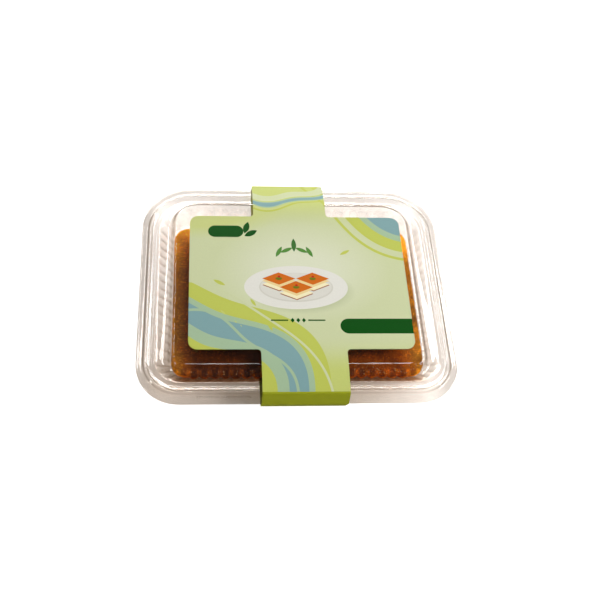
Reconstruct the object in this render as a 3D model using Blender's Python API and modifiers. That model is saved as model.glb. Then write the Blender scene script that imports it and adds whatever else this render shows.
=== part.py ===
"""A shut clear box of kunafa with a printed card sleeve round it.

The origin is under the middle of the box, on the surface that it stands on. X runs along
the long side, Y runs from the front to the back, and Z is up. All sizes are in metres.
"""
import math

import bmesh
import bpy
from mathutils import Vector

# The whole pack
CLEARANCE = 0.0003
FILM = 0.00045
CARD = 0.0005

# The rim that tray and lid share. Every radius here is that of the front corners, and the
# back corners of the same form are wider.
BACK_WIDER = 0.0060
RIM_HALF_X = 0.0900
RIM_HALF_Y = 0.0723
RIM_RADIUS = 0.0240
RIM_TOP = 0.0110

# The tray: its floor lies on the sleeve, and its sloping wall is pressed into flutes
TRAY_FLOOR = CARD + CLEARANCE + FILM
LIP_HALF_X = 0.0804
LIP_HALF_Y = 0.0596
LIP_RADIUS = 0.0152
WALL_TOP_HALF_X = 0.0788
WALL_TOP_HALF_Y = 0.0578
WALL_TOP_RADIUS = 0.0142
WALL_FOOT_HALF_X = 0.0724
WALL_FOOT_HALF_Y = 0.0520
WALL_FOOT_RADIUS = 0.0103
LIP_DROP = 0.0007
FLOOR_ROLL = 0.0010
FLOOR_ROLL_INSET = 0.0017
FLUTES_LONG_SIDE = 22
FLUTES_SHORT_SIDE = 15
FLUTES_CORNER = 4
FLUTE_POINTS = 4
FLUTE_DEPTH = 0.0012

# The lid: bead, shoulder, riser and the flat platform that carries the sleeve. Each form is
# drawn as steps (how far outside its own line, height over its own base).
LID_RIM = RIM_TOP + CLEARANCE + FILM
BEAD_HALF_X = 0.0852
BEAD_HALF_Y = 0.0660
BEAD_RADIUS = 0.0192
BEAD_STEPS = ((0.0014, 0.0), (0.0008, 0.00185), (0.0, 0.00245), (-0.0012, 0.00245), (-0.0020, 0.00165))
SHOULDER_HALF_X = 0.0798
SHOULDER_HALF_Y = 0.0594
SHOULDER_RADIUS = 0.0148
SHOULDER_STEPS = ((0.0010, 0.00145), (0.0, 0.0022))
PLATFORM_HALF_X = 0.0686
PLATFORM_HALF_Y = 0.0539
PLATFORM_RADIUS = 0.0080
PLATFORM_TOP = 0.0205
PLATFORM_STEPS = ((0.0040, -0.0062), (0.0019, -0.0013), (0.0010, -0.0003), (0.0, 0.0), (-0.0014, -0.0003))
LID_CORNER_STEPS = 8

# The kunafa: a slab pushed against the front wall of the tray
SLAB_HALF_X = 0.0705
SLAB_FRONT = -0.0566
SLAB_FOOT_FRONT = -0.0501
SLAB_BACK = 0.0415
SLAB_TOP = 0.0130
SLAB_CORNER = 0.0085
SLAB_EDGE = 0.0012
SLAB_RIM_DROP = 0.0004
SLAB_SIDE_INSET = 0.0006
SLAB_FOOT_INSET = 0.0010
SLAB_LEAN_FADE = 0.0200
SLAB_FRONT_WAVE = 0.0007
SLAB_ROWS = 26
# The uneven top is a sum of waves: height, radians per metre along X and Y, and phase
SLAB_WAVES = (
    (0.00013, 150.0, 190.0, 0.4),
    (0.00008, 410.0, -260.0, 0.8),
    (0.00007, 760.0, 900.0, 2.1),
)

# The card sleeve: a band round the box that widens to a label on top
SLEEVE_FRONT_LEFT = -0.0213
SLEEVE_FRONT_RIGHT = 0.0262
SLEEVE_BACK_LEFT = -0.0234
SLEEVE_BACK_RIGHT = 0.0205
LABEL_LEFT = -0.0612
LABEL_RIGHT = 0.0648
LABEL_HALF_Y = 0.0445
LABEL_CORNER = 0.0052
LABEL_FILLET = 0.0022
SLEEVE_FOOT_HALF_Y = 0.0694
SLEEVE_FRONT_FOLD_Y = -0.0703
SLEEVE_FRONT_FOLD_Z = 0.0199
SLEEVE_BACK_FOLD_Y = 0.0720
SLEEVE_BACK_FOLD_Z = 0.0154
SLEEVE_BEND_Y = 0.0546
FOLD_RADIUS = 0.0012
FOLD_STEPS = 4
CORNER_STEPS = 6


def clear_scene():
    """Start from an empty file."""
    for obj in list(bpy.data.objects):
        bpy.data.objects.remove(obj, do_unlink=True)


def new_collection(name):
    """Make a collection for the pack and return it."""
    collection = bpy.data.collections.new(name)
    bpy.context.scene.collection.children.link(collection)
    return collection


def new_material(name, colour, roughness, alpha=1.0):
    """Make a Principled material of one colour."""
    material = bpy.data.materials.new(name)
    material.use_nodes = True
    shader = material.node_tree.nodes["Principled BSDF"]
    shader.inputs["Base Color"].default_value = (*colour, 1.0)
    shader.inputs["Roughness"].default_value = roughness
    shader.inputs["Metallic"].default_value = 0.0
    shader.inputs["Alpha"].default_value = alpha
    return material


def new_object(name, bm, collection, material):
    """Turn a bmesh into a named object of the pack."""
    mesh = bpy.data.meshes.new(name)
    bm.to_mesh(mesh)
    bm.free()
    mesh.materials.append(material)
    obj = bpy.data.objects.new(name, mesh)
    collection.objects.link(obj)
    return obj


def add_wall(obj, thickness):
    """Give an open surface its wall, on the side away from its normals."""
    solidify = obj.modifiers.new("Wall", "SOLIDIFY")
    solidify.thickness = thickness
    solidify.offset = -1.0
    solidify.use_even_offset = True


def corner_points(centre, radius, start, steps):
    """Return points of a quarter circle, from the angle start on, both ends included."""
    points = []
    for step in range(steps + 1):
        angle = start + math.pi / 2 * step / steps
        points.append((centre[0] + radius * math.cos(angle), centre[1] + radius * math.sin(angle)))
    return points


def corner_arcs(half_x, half_y, radius):
    """Return the four corners of a ring as (centre, radius, angle where it starts).

    They run counterclockwise from the back right one, and those at the back are wider.
    """
    back = radius + BACK_WIDER
    return [
        (Vector((half_x - back, half_y - back)), back, 0.0),
        (Vector((back - half_x, half_y - back)), back, math.pi / 2),
        (Vector((radius - half_x, radius - half_y)), radius, math.pi),
        (Vector((half_x - radius, radius - half_y)), radius, 1.5 * math.pi),
    ]


def fluted_ring(half_x, half_y, radius, depth):
    """Return a rounded rectangle as bays that bulge outwards between cusps.

    Each point is moved inwards by the depth at a cusp and by nothing at a bay's middle.
    """
    arcs = corner_arcs(half_x, half_y, radius)
    points = []
    for quarter, (centre, arc_radius, angle) in enumerate(arcs):
        last_centre, last_radius, _ = arcs[quarter - 1]
        normal = Vector((math.cos(angle), math.sin(angle)))
        start = last_centre + normal * last_radius
        end = centre + normal * arc_radius
        flutes = FLUTES_LONG_SIDE if quarter % 2 else FLUTES_SHORT_SIDE
        steps = flutes * FLUTE_POINTS
        for step in range(steps):
            points.append(start.lerp(end, step / steps) - normal * depth * flute_inset(step))
        steps = FLUTES_CORNER * FLUTE_POINTS
        for step in range(steps):
            turn = angle + math.pi / 2 * step / steps
            reach = arc_radius - depth * flute_inset(step)
            points.append(centre + reach * Vector((math.cos(turn), math.sin(turn))))
    return points


def flute_inset(step):
    """Return how far in a point of a flute lies: 1 at the cusp, 0 in the middle of the bay."""
    return 1.0 - math.sin(math.pi * (step % FLUTE_POINTS) / FLUTE_POINTS)


def plain_ring(half_x, half_y, radius):
    """Return a rounded rectangle with its straight sides as single edges."""
    points = []
    for centre, arc_radius, angle in corner_arcs(half_x, half_y, radius):
        points += corner_points(centre, arc_radius, angle, LID_CORNER_STEPS)
    return points


def loft(bm, rings):
    """Join rings of points by faces and close the last ring with one face."""
    rows = []
    for points, height in rings:
        rows.append([bm.verts.new((point[0], point[1], height)) for point in points])
    for outer, inner in zip(rows[:-1], rows[1:]):
        count = len(outer)
        for index in range(count):
            after = (index + 1) % count
            bm.faces.new((outer[index], outer[after], inner[after], inner[index]))
    bm.faces.new(rows[-1])


def build_tray(collection):
    """Build the fluted tray with its flat rim. The surface drawn is the inner one."""
    foot_z = TRAY_FLOOR + FLOOR_ROLL
    floor_half_x = WALL_FOOT_HALF_X - FLOOR_ROLL_INSET
    floor_half_y = WALL_FOOT_HALF_Y - FLOOR_ROLL_INSET
    floor_radius = WALL_FOOT_RADIUS - FLOOR_ROLL_INSET
    rings = [
        (fluted_ring(RIM_HALF_X, RIM_HALF_Y, RIM_RADIUS, 0.0), RIM_TOP),
        (fluted_ring(LIP_HALF_X, LIP_HALF_Y, LIP_RADIUS, 0.0), RIM_TOP),
        (fluted_ring(WALL_TOP_HALF_X, WALL_TOP_HALF_Y, WALL_TOP_RADIUS, FLUTE_DEPTH), RIM_TOP - LIP_DROP),
        (fluted_ring(WALL_FOOT_HALF_X, WALL_FOOT_HALF_Y, WALL_FOOT_RADIUS, FLUTE_DEPTH), foot_z),
        (fluted_ring(floor_half_x, floor_half_y, floor_radius, 0.0), TRAY_FLOOR),
    ]
    bm = bmesh.new()
    loft(bm, rings)
    film = new_material("clear_film_tray", (0.86, 0.84, 0.82), 0.08, 0.35)
    tray = new_object("tray", bm, collection, film)
    add_wall(tray, FILM)


def stepped_rings(half_x, half_y, radius, base, steps):
    """Return the rings of one form of the lid from its steps."""
    rings = []
    for out, height in steps:
        rings.append((plain_ring(half_x + out, half_y + out, radius + out), base + height))
    return rings


def build_lid(collection):
    """Build the stepped lid from its rim inwards. The surface drawn is the outer one."""
    rings = [(plain_ring(RIM_HALF_X, RIM_HALF_Y, RIM_RADIUS), LID_RIM)]
    rings += stepped_rings(BEAD_HALF_X, BEAD_HALF_Y, BEAD_RADIUS, LID_RIM, BEAD_STEPS)
    rings += stepped_rings(SHOULDER_HALF_X, SHOULDER_HALF_Y, SHOULDER_RADIUS, LID_RIM, SHOULDER_STEPS)
    rings += stepped_rings(PLATFORM_HALF_X, PLATFORM_HALF_Y, PLATFORM_RADIUS, PLATFORM_TOP, PLATFORM_STEPS)
    bm = bmesh.new()
    loft(bm, rings)
    film = new_material("clear_film_lid", (0.90, 0.88, 0.86), 0.06, 0.30)
    lid = new_object("lid", bm, collection, film)
    add_wall(lid, FILM)


def slab_relief(x, y):
    """Return the gentle unevenness of the browned top at a place."""
    relief = 0.0
    for height, along_x, along_y, phase in SLAB_WAVES:
        relief += height * math.sin(x * along_x + phase) * math.cos(y * along_y - phase)
    return relief


def round_corner(across, along):
    """Move a point of the square corner [0, 1] x [0, 1] onto a quarter disc."""
    length = math.hypot(across, along)
    if length == 0.0:
        return 0.0, 0.0
    scale = max(across, along) / length
    return across * scale, along * scale


def slab_place(x, y):
    """Round the corners of the slab's outline."""
    middle_y = (SLAB_FRONT + SLAB_BACK) / 2
    half_y = (SLAB_BACK - SLAB_FRONT) / 2
    over_x = abs(x) - (SLAB_HALF_X - SLAB_CORNER)
    over_y = abs(y - middle_y) - (half_y - SLAB_CORNER)
    if over_x <= 0.0 or over_y <= 0.0:
        return x, y
    across, along = round_corner(over_x / SLAB_CORNER, over_y / SLAB_CORNER)
    new_x = math.copysign(SLAB_HALF_X - SLAB_CORNER + across * SLAB_CORNER, x)
    new_y = middle_y + math.copysign(half_y - SLAB_CORNER + along * SLAB_CORNER, y - middle_y)
    return new_x, new_y


def extrude_border(bm, border, height, inset):
    """Extrude the border's edges to a height, moved inwards, and return the new edges."""
    result = bmesh.ops.extrude_edge_only(bm, edges=border)
    edges = [item for item in result["geom"] if isinstance(item, bmesh.types.BMEdge)]
    verts = {vert for edge in edges for vert in edge.verts}
    middle_y = (SLAB_FRONT + SLAB_BACK) / 2
    half_y = (SLAB_BACK - SLAB_FRONT) / 2
    for vert in verts:
        vert.co.x *= 1.0 - inset / SLAB_HALF_X
        vert.co.y = middle_y + (vert.co.y - middle_y) * (1.0 - inset / half_y)
        vert.co.z = height
    return [edge for edge in edges if edge.is_boundary]


def build_kunafa(collection):
    """Build the slab: an uneven browned top, soft edges and a front that leans with the wall."""
    columns = 2 * FLUTES_LONG_SIDE
    middle_y = (SLAB_FRONT + SLAB_BACK) / 2
    half_y = (SLAB_BACK - SLAB_FRONT) / 2
    bm = bmesh.new()
    bmesh.ops.create_grid(bm, x_segments=columns, y_segments=SLAB_ROWS, size=1.0)
    for vert in bm.verts:
        x, y = slab_place(vert.co.x * SLAB_HALF_X, middle_y + vert.co.y * half_y)
        vert.co = (x, y, SLAB_TOP + slab_relief(x, y))
    border = [edge for edge in bm.edges if edge.is_boundary]
    for vert in bm.verts:
        if vert.is_boundary:
            vert.co.z = SLAB_TOP - SLAB_RIM_DROP
    front = [vert for vert in bm.verts if vert.is_boundary and abs(vert.co.y - SLAB_FRONT) < 0.00001]
    front.sort(key=lambda vert: vert.co.x)
    for vert in front[::2]:
        vert.co.y += SLAB_FRONT_WAVE
    border = extrude_border(bm, border, SLAB_TOP - SLAB_EDGE, 0.0)
    border = extrude_border(bm, border, TRAY_FLOOR + CLEARANCE + SLAB_EDGE, SLAB_SIDE_INSET)
    border = extrude_border(bm, border, TRAY_FLOOR + CLEARANCE, SLAB_FOOT_INSET)
    bmesh.ops.contextual_create(bm, geom=border)
    lean_front(bm)
    bmesh.ops.recalc_face_normals(bm, faces=bm.faces)
    crust = new_material("browned_crust", (0.30, 0.12, 0.02), 0.45)
    new_object("kunafa", bm, collection, crust)


def lean_front(bm):
    """Draw the front of the slab back at its foot, as the sloping wall makes it."""
    foot = TRAY_FLOOR + CLEARANCE
    reach = SLAB_FOOT_FRONT - SLAB_FRONT
    for vert in bm.verts:
        drop = max(0.0, (SLAB_TOP - vert.co.z) / (SLAB_TOP - foot))
        near = max(0.0, 1.0 - (vert.co.y - SLAB_FRONT) / SLAB_LEAN_FADE)
        vert.co.y += reach * drop * near


def folded_path():
    """Return the sleeve's closed path in the Y-Z plane as (length, y, z), with round folds.

    It starts in the middle of the bottom panel, goes out to the front, up and over the top,
    and comes back under the box from behind. It is the face of the card that meets the box.
    """
    edge_y = RIM_HALF_Y + CLEARANCE
    edge_z = (RIM_TOP + LID_RIM) / 2
    top = PLATFORM_TOP + CLEARANCE
    corners = [
        (-SLEEVE_FOOT_HALF_Y, CARD),
        (-edge_y, edge_z),
        (SLEEVE_FRONT_FOLD_Y, SLEEVE_FRONT_FOLD_Z),
        (-SLEEVE_BEND_Y, top),
        (SLEEVE_BEND_Y, top),
        (SLEEVE_BACK_FOLD_Y, SLEEVE_BACK_FOLD_Z),
        (edge_y, edge_z),
        (SLEEVE_FOOT_HALF_Y, CARD),
    ]
    places = [Vector((0.0, CARD))]
    count = len(corners)
    for index in range(count):
        corner = Vector(corners[index])
        before = (Vector(corners[index - 1]) - corner).normalized()
        after = (Vector(corners[(index + 1) % count]) - corner).normalized()
        half = before.angle(after) / 2
        trim = FOLD_RADIUS / math.tan(half)
        centre = corner + (before + after).normalized() * FOLD_RADIUS / math.sin(half)
        first = corner + before * trim - centre
        last = corner + after * trim - centre
        for step in range(FOLD_STEPS + 1):
            places.append(centre + first.slerp(last, step / FOLD_STEPS) * FOLD_RADIUS)
    places.append(Vector((0.0, CARD)))
    path = []
    length = 0.0
    for index, place in enumerate(places):
        if index:
            length += (place - places[index - 1]).length
        path.append((length, place.x, place.y))
    return path


def path_length_at(path, y):
    """Return the length along the path where its flat top crosses y."""
    top = PLATFORM_TOP + CLEARANCE
    for (from_length, from_y, from_z), (to_length, to_y, to_z) in zip(path[:-1], path[1:]):
        flat = abs(from_z - top) < 0.00001 and abs(to_z - top) < 0.00001
        if flat and from_y <= y <= to_y:
            return from_length + (to_length - from_length) * (y - from_y) / (to_y - from_y)
    return None


def path_place(path, length):
    """Return the y and z of a length along the path."""
    for (from_length, from_y, from_z), (to_length, to_y, to_z) in zip(path[:-1], path[1:]):
        if length <= to_length + 0.000001:
            share = (length - from_length) / (to_length - from_length)
            return from_y + (to_y - from_y) * share, from_z + (to_z - from_z) * share
    return path[-1][1], path[-1][2]


def blank_outline(path):
    """Return the flat card blank as points (x, length), counterclockwise.

    The band widens to the label with a small fillet in each inner corner.
    """
    total = path[-1][0]
    front = path_length_at(path, -LABEL_HALF_Y)
    back = path_length_at(path, LABEL_HALF_Y)
    seam_left = (SLEEVE_FRONT_LEFT + SLEEVE_BACK_LEFT) / 2
    seam_right = (SLEEVE_FRONT_RIGHT + SLEEVE_BACK_RIGHT) / 2
    front_foot = path[1][0]
    back_foot = path[-2][0]
    quarter = math.pi / 2
    fillet = LABEL_FILLET
    corner = LABEL_CORNER
    points = [(seam_left, 0.0), (seam_right, 0.0), (SLEEVE_FRONT_RIGHT, front_foot)]
    inner = corner_points((SLEEVE_FRONT_RIGHT + fillet, front - fillet), fillet, quarter, CORNER_STEPS)
    points += inner[::-1]
    points += corner_points((LABEL_RIGHT - corner, front + corner), corner, -quarter, CORNER_STEPS)
    points += corner_points((LABEL_RIGHT - corner, back - corner), corner, 0.0, CORNER_STEPS)
    inner = corner_points((SLEEVE_BACK_RIGHT + fillet, back + fillet), fillet, math.pi, CORNER_STEPS)
    points += inner[::-1]
    points += [(SLEEVE_BACK_RIGHT, back_foot), (seam_right, total), (seam_left, total)]
    points += [(SLEEVE_BACK_LEFT, back_foot)]
    inner = corner_points((SLEEVE_BACK_LEFT - fillet, back + fillet), fillet, -quarter, CORNER_STEPS)
    points += inner[::-1]
    points += corner_points((LABEL_LEFT + corner, back - corner), corner, quarter, CORNER_STEPS)
    points += corner_points((LABEL_LEFT + corner, front + corner), corner, math.pi, CORNER_STEPS)
    inner = corner_points((SLEEVE_FRONT_LEFT - fillet, front - fillet), fillet, 0.0, CORNER_STEPS)
    points += inner[::-1]
    points += [(SLEEVE_FRONT_LEFT, front_foot)]
    return points


def build_sleeve(collection):
    """Cut the blank, crease it, wrap it round the box and glue its ends under the floor."""
    path = folded_path()
    bm = bmesh.new()
    bm.faces.new([bm.verts.new((x, length, 0.0)) for x, length in blank_outline(path)])
    creases = [length for length, y, z in path[1:-1]]
    creases += [path_length_at(path, -LABEL_HALF_Y), path_length_at(path, LABEL_HALF_Y)]
    for length in sorted(creases):
        geometry = bm.verts[:] + bm.edges[:] + bm.faces[:]
        bmesh.ops.bisect_plane(bm, geom=geometry, plane_co=(0.0, length, 0.0), plane_no=(0.0, 1.0, 0.0))
    for vert in bm.verts:
        y, z = path_place(path, vert.co.y)
        vert.co = (vert.co.x, y, z)
    bmesh.ops.remove_doubles(bm, verts=bm.verts, dist=0.00001)
    bm.normal_update()
    topmost = max(bm.faces, key=lambda face: face.calc_center_median().z)
    if topmost.normal.z > 0.0:
        bmesh.ops.reverse_faces(bm, faces=bm.faces)
    board = new_material("printed_card", (0.62, 0.67, 0.35), 0.55)
    sleeve = new_object("sleeve", bm, collection, board)
    add_wall(sleeve, CARD)


def main():
    """Build the pack: tray, kunafa, lid and sleeve."""
    clear_scene()
    collection = new_collection("kunafa_pack")
    build_tray(collection)
    build_kunafa(collection)
    build_lid(collection)
    build_sleeve(collection)


main()
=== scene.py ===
import math
import random

import bpy
from mathutils import Matrix, Vector


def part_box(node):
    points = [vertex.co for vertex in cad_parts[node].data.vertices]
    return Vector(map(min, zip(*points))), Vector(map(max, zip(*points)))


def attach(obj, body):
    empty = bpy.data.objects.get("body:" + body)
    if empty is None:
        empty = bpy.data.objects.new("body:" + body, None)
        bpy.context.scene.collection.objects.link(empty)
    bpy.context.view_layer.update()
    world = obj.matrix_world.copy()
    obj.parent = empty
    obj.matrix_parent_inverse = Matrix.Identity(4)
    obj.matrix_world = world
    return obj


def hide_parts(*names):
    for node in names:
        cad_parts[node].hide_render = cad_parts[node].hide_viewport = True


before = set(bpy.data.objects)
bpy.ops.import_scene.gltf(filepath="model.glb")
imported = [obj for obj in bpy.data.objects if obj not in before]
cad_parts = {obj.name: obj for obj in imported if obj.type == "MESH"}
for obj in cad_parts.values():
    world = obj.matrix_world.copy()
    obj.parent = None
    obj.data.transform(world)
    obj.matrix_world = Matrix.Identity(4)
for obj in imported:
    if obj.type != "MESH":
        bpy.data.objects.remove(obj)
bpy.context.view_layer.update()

# Tray: one sheet of thin clear PET, drawn down over a fluted mould. A flat flange with a
# low bead carries the lid, the wall slopes in with rounded flutes all round, and the flat
# floor stands on the card band.
tray_low, tray_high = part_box("tray")
TRAY_FILM = 0.00040
RIM_FRONT_RADIUS = 0.0240
RIM_BACK_RADIUS = 0.0300
CORNER_SEGMENTS = 16
FLUTES_LONG_SIDE = 22
FLUTES_SHORT_SIDE = 15
FLUTE_SEGMENTS = 4
SAME_PLACE = 0.00001
flange_z = tray_high.z
floor_z = tray_low.z + TRAY_FILM
# Each line of the mould: half length, half width, how much rounder or tighter its corners
# are than the rim's, height, and how deep the flutes are there.
TRAY_LINES = (
    (0.08975, 0.07205, 0.0002, flange_z - 0.0001, 0),
    (0.08935, 0.07165, 0.0006, flange_z, 0),
    (0.08680, 0.06760, 0.0035, flange_z, 0),
    (0.08630, 0.06710, 0.0039, flange_z + 0.0002, 0),
    (0.08590, 0.06670, 0.0043, flange_z + 0.0013, 0),
    (0.08540, 0.06620, 0.0048, flange_z + 0.0018, 0),
    (0.08440, 0.06520, 0.0057, flange_z + 0.0018, 0),
    (0.08380, 0.06460, 0.0063, flange_z + 0.0012, 0),
    (0.08350, 0.06400, 0.0068, flange_z + 0.0001, 0),
    (0.08300, 0.06330, 0.0073, flange_z, 0),
    (0.08060, 0.05980, 0.0088, flange_z, 0),
    (0.07985, 0.05890, 0.0093, flange_z - 0.0003, 0),
    (0.07900, 0.05800, 0.0098, flange_z - 0.0012, 0.0009),
    (0.07800, 0.05710, 0.0104, 0.0088, 0.0015),
    (0.07560, 0.05490, 0.0118, 0.0060, 0.0011),
    (0.07320, 0.05270, 0.0131, 0.0033, 0.0015),
    (0.07240, 0.05190, 0.0137, 0.0023, 0.0009),
    (0.07150, 0.05100, 0.0144, floor_z + 0.0003, 0.0002),
    (0.07050, 0.05000, 0.0150, floor_z, 0),
    (0.06800, 0.04750, 0.0160, floor_z, 0),
)


def start_sheet(name, half_x, half_y, z):
    """Add a flat sheet at its size and place, and leave it in edit mode."""
    bpy.ops.object.select_all(action="DESELECT")
    bpy.ops.mesh.primitive_plane_add(size=2)
    sheet = bpy.context.object
    sheet.name = name
    sheet.data.name = name
    bpy.ops.object.mode_set(mode="EDIT")
    bpy.ops.transform.resize(value=(half_x, half_y, 1), center_override=(0, 0, 0))
    bpy.ops.transform.translate(value=(0, 0, z))
    return sheet


def select_points(piece, wanted):
    """Select the points whose place passes the test."""
    bpy.ops.object.mode_set(mode="EDIT")
    bpy.ops.mesh.select_mode(type="VERT")
    bpy.ops.mesh.select_all(action="DESELECT")
    bpy.ops.object.mode_set(mode="OBJECT")
    for point in piece.data.vertices:
        point.select = wanted(point.co)
    bpy.ops.object.mode_set(mode="EDIT")


def select_edges(piece, wanted):
    """Select the edges whose two ends pass the test."""
    bpy.ops.object.mode_set(mode="EDIT")
    bpy.ops.mesh.select_mode(type="EDGE")
    bpy.ops.mesh.select_all(action="DESELECT")
    bpy.ops.object.mode_set(mode="OBJECT")
    for edge in piece.data.edges:
        edge.select = wanted(*(piece.data.vertices[i].co for i in edge.vertices))
    bpy.ops.object.mode_set(mode="EDIT")


def round_rim(piece, long_cuts, short_cuts):
    """Round a sheet's four corners, wider at the back, and divide its straight sides."""
    bpy.ops.mesh.delete(type="ONLY_FACE")
    select_points(piece, lambda co: co.y < 0)
    bpy.ops.mesh.bevel(offset=RIM_FRONT_RADIUS, segments=CORNER_SEGMENTS, affect="VERTICES")
    select_points(piece, lambda co: co.y > rim_half_y / 2)
    bpy.ops.mesh.bevel(offset=RIM_BACK_RADIUS, segments=CORNER_SEGMENTS, affect="VERTICES")
    select_edges(piece, lambda a, b: abs(a.x - b.x) > rim_half_x)
    bpy.ops.mesh.subdivide(number_cuts=long_cuts)
    select_edges(piece, lambda a, b: abs(a.y - b.y) > rim_half_y)
    bpy.ops.mesh.subdivide(number_cuts=short_cuts)
    bpy.ops.mesh.select_all(action="SELECT")
    bpy.ops.mesh.edge_face_add()
    bpy.ops.mesh.select_mode(type="FACE")
    bpy.ops.mesh.select_all(action="SELECT")
    bpy.ops.mesh.normals_make_consistent(inside=False)


def press_lines(lines, last):
    """Draw the lines of a pressed film one inside the other, each at its own height."""
    for half_x, half_y, tighter, z, *_ in lines:
        inset = tighter - last[2]
        bpy.ops.mesh.inset(thickness=inset, use_even_offset=True)
        squeeze = (half_x / (last[0] - inset), half_y / (last[1] - inset), 1)
        bpy.ops.transform.resize(value=squeeze, center_override=(0, 0, 0))
        bpy.ops.transform.translate(value=(0, 0, z - last[3]))
        last = (half_x, half_y, tighter, z)
    bpy.ops.mesh.delete(type="FACE")
    bpy.ops.object.mode_set(mode="OBJECT")


def smooth_film(piece, levels, last_line, thickness):
    """Smooth the pressed lines, close the flat middle, and give the film its thickness."""
    apply_modifier(piece, "SUBSURF", levels=levels, render_levels=levels)
    half_x, half_y = last_line[0] + SAME_PLACE, last_line[1] + SAME_PLACE
    select_edges(piece, lambda a, b: all(abs(p.x) < half_x and abs(p.y) < half_y for p in (a, b)))
    bpy.ops.mesh.edge_face_add()
    bpy.ops.object.mode_set(mode="OBJECT")
    apply_modifier(piece, "SOLIDIFY", thickness=thickness, offset=-1, use_even_offset=True)
    bpy.ops.object.shade_smooth_by_angle(angle=math.radians(50))


def apply_modifier(piece, kind, **settings):
    """Finish a piece with a modifier and apply it."""
    bpy.context.view_layer.objects.active = piece
    modifier = piece.modifiers.new(kind.title(), kind)
    for name, value in settings.items():
        setattr(modifier, name, value)
    bpy.ops.object.modifier_apply(modifier=modifier.name)


rim_half_x = tray_high.x
rim_half_y = tray_high.y
tray_edge_z = flange_z - 0.0005
tray = start_sheet("tray_shell", rim_half_x, rim_half_y, tray_edge_z)
round_rim(tray, FLUTES_LONG_SIDE * FLUTE_SEGMENTS - 1, FLUTES_SHORT_SIDE * FLUTE_SEGMENTS - 1)
press_lines(TRAY_LINES, (rim_half_x, rim_half_y, 0, tray_edge_z))

# The flutes: every fourth point of a wall line is pushed in, and the bays between stay out
for half_x, half_y, _, z, depth in TRAY_LINES:
    if not depth:
        continue
    ring = [v for v in tray.data.vertices if abs(v.co.z - z) < 2 * SAME_PLACE]
    ring.sort(key=lambda v: math.atan2(v.co.y, v.co.x))
    front = [i for i, v in enumerate(ring) if v.co.y < 5 * SAME_PLACE - half_y]
    first = min(front, key=lambda i: ring[i].co.x)
    steps = range(first, first + len(ring), FLUTE_SEGMENTS)
    cusps = {ring[i % len(ring)].co.copy().freeze() for i in steps}
    select_points(tray, lambda co: co.copy().freeze() in cusps)
    bpy.ops.transform.shrink_fatten(value=depth)
    bpy.ops.object.mode_set(mode="OBJECT")

smooth_film(tray, 1, TRAY_LINES[-1], TRAY_FILM)


def paint(red, green, blue):
    """Turn a colour as a screen shows it into the linear one that a shader takes."""
    values = (red / 255, green / 255, blue / 255)
    return (*(v / 12.92 if v < 0.04045 else ((v + 0.055) / 1.055) ** 2.4 for v in values), 1)


def new_group(name, inputs, outputs):
    """Start a shader node group with named sockets and return it with its two ends."""
    group = bpy.data.node_groups.new(name, "ShaderNodeTree")
    for socket, kind, value in inputs:
        made = group.interface.new_socket(socket, in_out="INPUT", socket_type="NodeSocket" + kind)
        if value is not None:
            made.default_value = value
    for socket, kind in outputs:
        group.interface.new_socket(socket, in_out="OUTPUT", socket_type="NodeSocket" + kind)
    return group, group.nodes.new("NodeGroupInput"), group.nodes.new("NodeGroupOutput")


def add_node(tree, kind, inputs=(), **settings):
    """Add a node, set its options, and link or fill its inputs in order or by name."""
    node = tree.nodes.new("ShaderNode" + kind)
    for name, value in settings.items():
        setattr(node, name, value)
    pairs = inputs.items() if isinstance(inputs, dict) else enumerate(inputs)
    for key, value in pairs:
        if isinstance(value, bpy.types.NodeSocket):
            tree.links.new(value, node.inputs[key])
        elif value is not None:
            node.inputs[key].default_value = value
    return node


def maths(tree, operation, *values, clamp=False):
    """Add a Math node and return its result."""
    return add_node(tree, "Math", values, operation=operation, use_clamp=clamp).outputs[0]


def span(tree, value, start, end, low=0.0, high=1.0, **settings):
    """Turn one span of values into another and return the result."""
    return add_node(tree, "MapRange", (value, start, end, low, high), **settings).outputs[0]


def blend(tree, factor, first, second):
    """Mix two colours and return the result."""
    return add_node(tree, "Mix", {"Factor": factor, 6: first, 7: second}, data_type="RGBA").outputs[2]


def new_material(name):
    """Make a material with an empty node tree and return both with its output's surface."""
    material = bpy.data.materials.new(name)
    material.use_nodes = True
    material.node_tree.nodes.clear()
    tree = material.node_tree
    output = tree.nodes.new("ShaderNodeOutputMaterial")
    return material, tree, output.inputs["Surface"]


# Pressed film is never quite flat: it has broad ripples and a little uneven haze
ripple_group, ripple_in, ripple_out = new_group(
    "Pressed film",
    (("Vector", "Vector", None), ("Ripple Scale", "Float", 60.0), ("Haze Scale", "Float", 120.0)),
    (("Height", "Float"), ("Haze", "Float")),
)
broad = add_node(ripple_group, "TexNoise", {
    "Vector": ripple_in.outputs[0], "Scale": ripple_in.outputs[1], "Detail": 2.0, "Roughness": 0.5})
haze = add_node(ripple_group, "TexNoise", {
    "Vector": ripple_in.outputs[0], "Scale": ripple_in.outputs[2], "Detail": 5.0, "Roughness": 0.6})
ripple_group.links.new(broad.outputs["Fac"], ripple_out.inputs["Height"])
ripple_group.links.new(haze.outputs["Fac"], ripple_out.inputs["Haze"])

# Film seen face on and edge on, its haze, and a painted refraction: the pastry's brown as it shows bent
# through the wall
FILM_FACE = paint(254, 253, 252)
FILM_EDGE = paint(210, 199, 187)
FILM_HAZE = paint(252, 247, 242)
PASTRY_SHOWTHROUGH_BROWN = paint(186, 138, 84)
FILM_IOR = 1.5
HAZE_SPREAD, HAZE_LEAST = 1.4, 0.3
# The frosted wall fades in and out between these heights
WALL_FROST_LOW = (0.0018, 0.0032)
WALL_FROST_HIGH = (0.0108, 0.0092)
# The painted refraction of the pastry's brown lies on the wall before the slab's front, and fades out at
# the slab's two ends
SHOWTHROUGH_FRONT = (-0.0606, -0.0584)
SHOWTHROUGH_BACK = (-0.0500, -0.0550)
SHOWTHROUGH_ENDS = (0.0720, 0.0640)


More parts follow.
